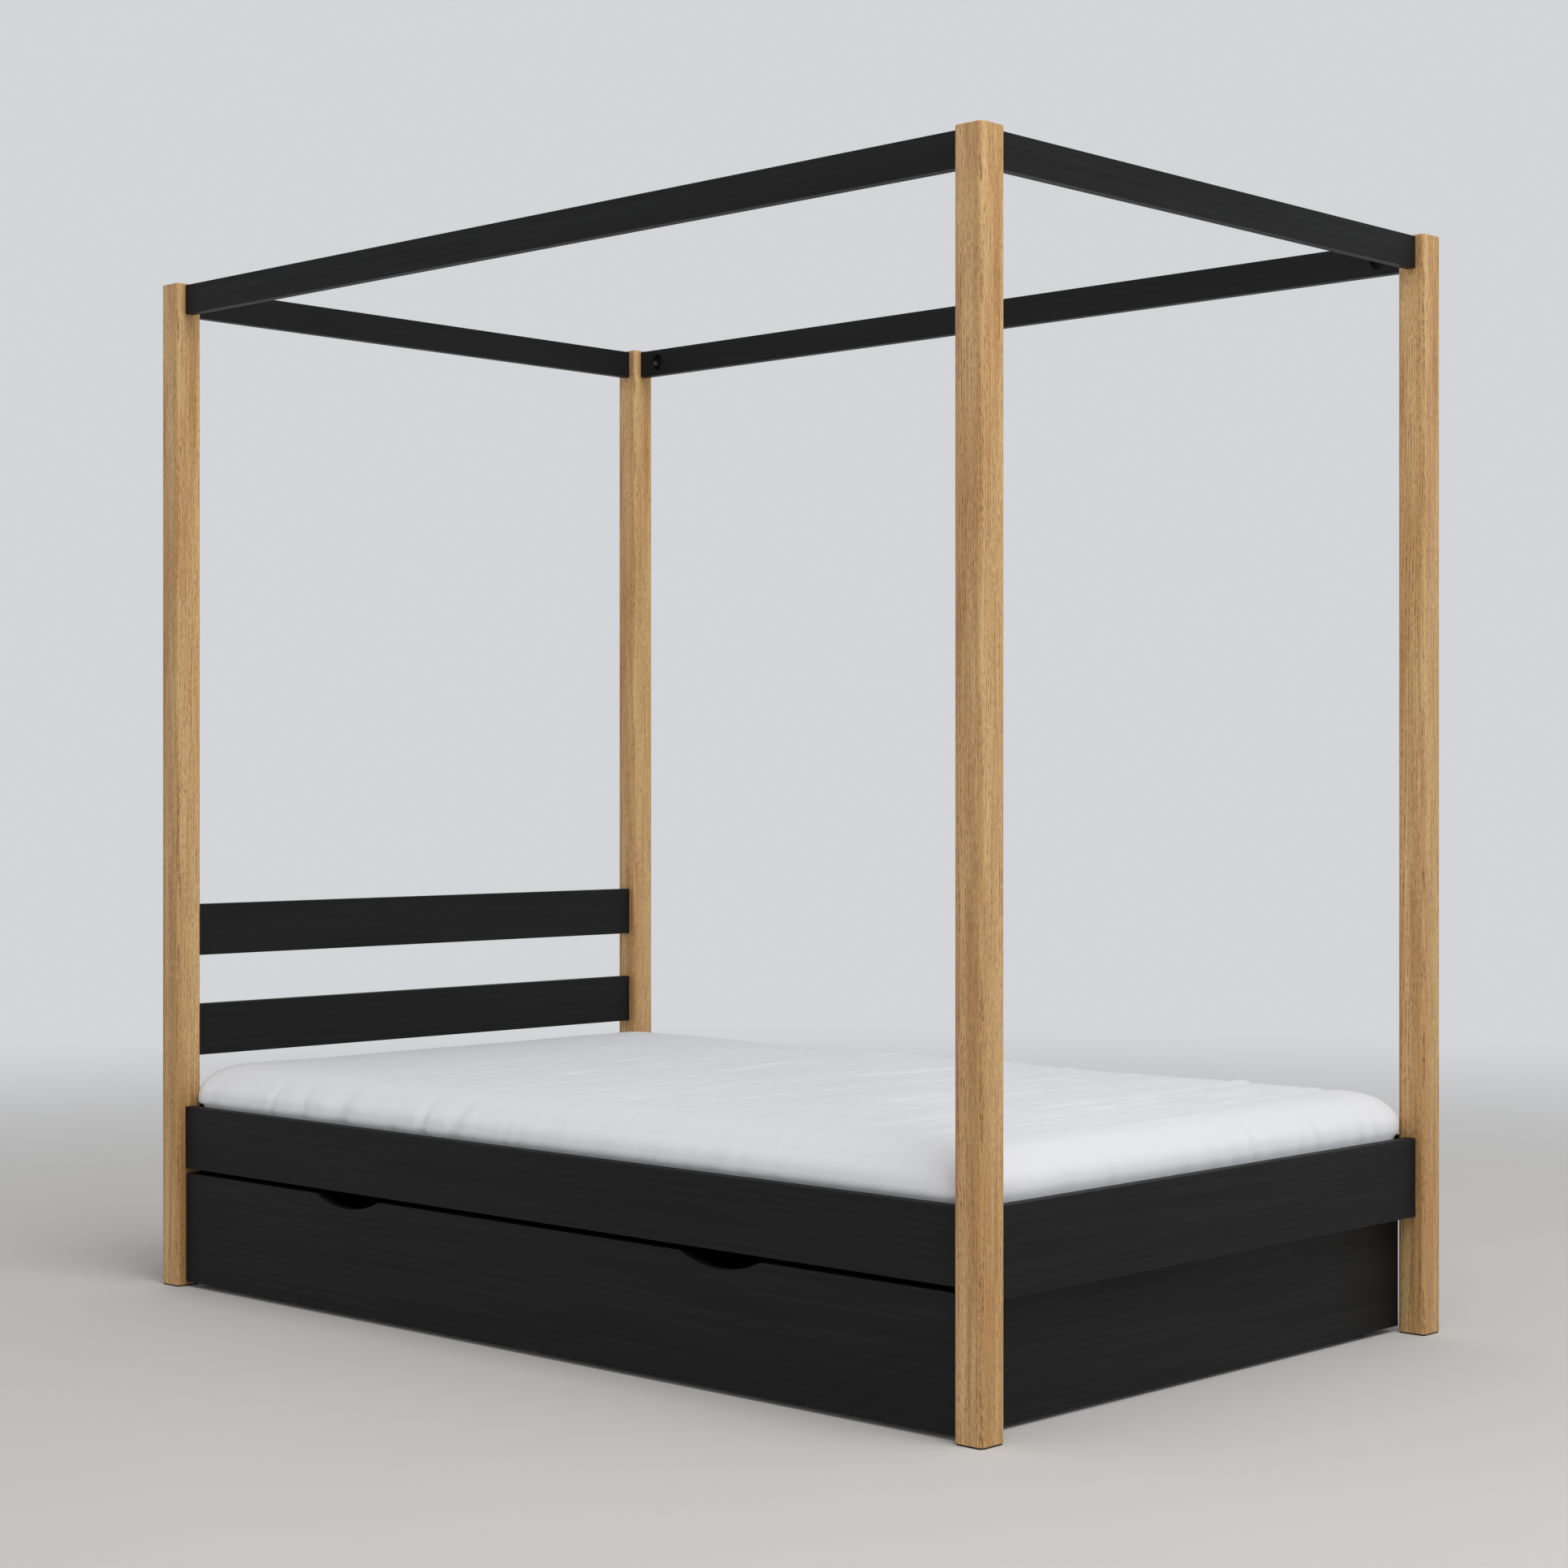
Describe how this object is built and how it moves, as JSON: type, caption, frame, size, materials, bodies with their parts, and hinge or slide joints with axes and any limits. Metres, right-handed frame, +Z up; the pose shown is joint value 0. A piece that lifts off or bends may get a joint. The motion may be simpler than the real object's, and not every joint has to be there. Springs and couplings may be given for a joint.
{
  "type": "four poster canopy bed",
  "caption": "Four poster bed with oak posts, painted canopy and bed rails, slatted base, mattress and a full-length wheeled drawer underneath",
  "frame": {"origin": "on the floor under the middle of the bed", "axes": "+X towards the foot, +Y towards the far side away from the drawer opening, +Z up; the drawer pulls out towards -Y"},
  "size_m": [2.081, 1.279, 1.953],
  "materials": {
    "oak": "solid oak posts, clear oil, open grain running up the post",
    "black_paint": "timber painted near-black, low satin, faint grain showing through",
    "felt": "pressed dark felt",
    "slat_wood": "planed pine, unfinished",
    "webbing": "woven grey tape",
    "mattress_cotton": "white woven cotton cover, matt",
    "zinc_steel": "zinc plated",
    "wheel_nylon": "moulded nylon"
  },
  "bodies": {
    "bed_frame": {"post_head_near": "oak", "glide_head_near": "felt", "post_head_far": "oak", "glide_head_far": "felt", "post_foot_near": "oak", "glide_foot_near": "felt", "post_foot_far": "oak", "glide_foot_far": "felt", "canopy_rail_near": "black_paint", "canopy_rail_far": "black_paint", "canopy_rail_head": "black_paint", "canopy_rail_foot": "black_paint", "side_rail_near": "black_paint", "side_rail_far": "black_paint", "head_rail": "black_paint", "foot_rail": "black_paint", "headboard_lower": "black_paint", "headboard_upper": "black_paint", "bolt_side_rail_head_near": "zinc_steel", "bolt_canopy_rail_head_near": "zinc_steel", "bolt_side_rail_head_far": "zinc_steel", "bolt_canopy_rail_head_far": "zinc_steel", "bolt_side_rail_foot_near": "zinc_steel", "bolt_canopy_rail_foot_near": "zinc_steel", "bolt_side_rail_foot_far": "zinc_steel", "bolt_canopy_rail_foot_far": "zinc_steel", "slat_ledger_near": "black_paint", "slat_webbing_near": "webbing", "slat_ledger_far": "black_paint", "slat_webbing_far": "webbing", "slat_01": "slat_wood", "slat_02": "slat_wood", "slat_03": "slat_wood", "slat_04": "slat_wood", "slat_05": "slat_wood", "slat_06": "slat_wood", "slat_07": "slat_wood", "slat_08": "slat_wood", "slat_09": "slat_wood", "slat_10": "slat_wood", "slat_11": "slat_wood", "slat_12": "slat_wood", "slat_13": "slat_wood", "mattress": "mattress_cotton"},
    "drawer": {"drawer_front": "black_paint", "drawer_back": "black_paint", "drawer_side_head": "black_paint", "drawer_side_foot": "black_paint", "drawer_divider": "black_paint", "drawer_bottom_head": "black_paint", "drawer_bottom_foot": "black_paint", "drawer_bearer": "slat_wood", "wheel_axle_head_front": "zinc_steel", "wheel_axle_head_back": "zinc_steel", "wheel_axle_foot_front": "zinc_steel", "wheel_axle_foot_back": "zinc_steel"},
    "wheel_head_front": {"drawer_wheel_head_front": "wheel_nylon"},
    "wheel_head_back": {"drawer_wheel_head_back": "wheel_nylon"},
    "wheel_foot_front": {"drawer_wheel_foot_front": "wheel_nylon"},
    "wheel_foot_back": {"drawer_wheel_foot_back": "wheel_nylon"}
  },
  "joints": [
    {"name": "drawer_slide", "type": "slide", "parent": "bed_frame", "child": "drawer", "axis": [0, -1, 0], "range_m": [0, 1.1]},
    {"name": "wheel_head_front_spin", "type": "hinge", "parent": "drawer", "child": "wheel_head_front", "pos_m": [-0.9575, -0.534, 0.02], "axis": [1, 0, 0], "continuous": true},
    {"name": "wheel_head_back_spin", "type": "hinge", "parent": "drawer", "child": "wheel_head_back", "pos_m": [-0.9575, 0.5105, 0.02], "axis": [1, 0, 0], "continuous": true},
    {"name": "wheel_foot_front_spin", "type": "hinge", "parent": "drawer", "child": "wheel_foot_front", "pos_m": [0.9575, -0.534, 0.02], "axis": [1, 0, 0], "continuous": true},
    {"name": "wheel_foot_back_spin", "type": "hinge", "parent": "drawer", "child": "wheel_foot_back", "pos_m": [0.9575, 0.5105, 0.02], "axis": [1, 0, 0], "continuous": true}
  ],
  "couplings": [
    {"joint": "wheel_head_front_spin", "follows": "drawer_slide", "rad_per_m": 50},
    {"joint": "wheel_head_back_spin", "follows": "drawer_slide", "rad_per_m": 50},
    {"joint": "wheel_foot_front_spin", "follows": "drawer_slide", "rad_per_m": 50},
    {"joint": "wheel_foot_back_spin", "follows": "drawer_slide", "rad_per_m": 50}
  ]
}
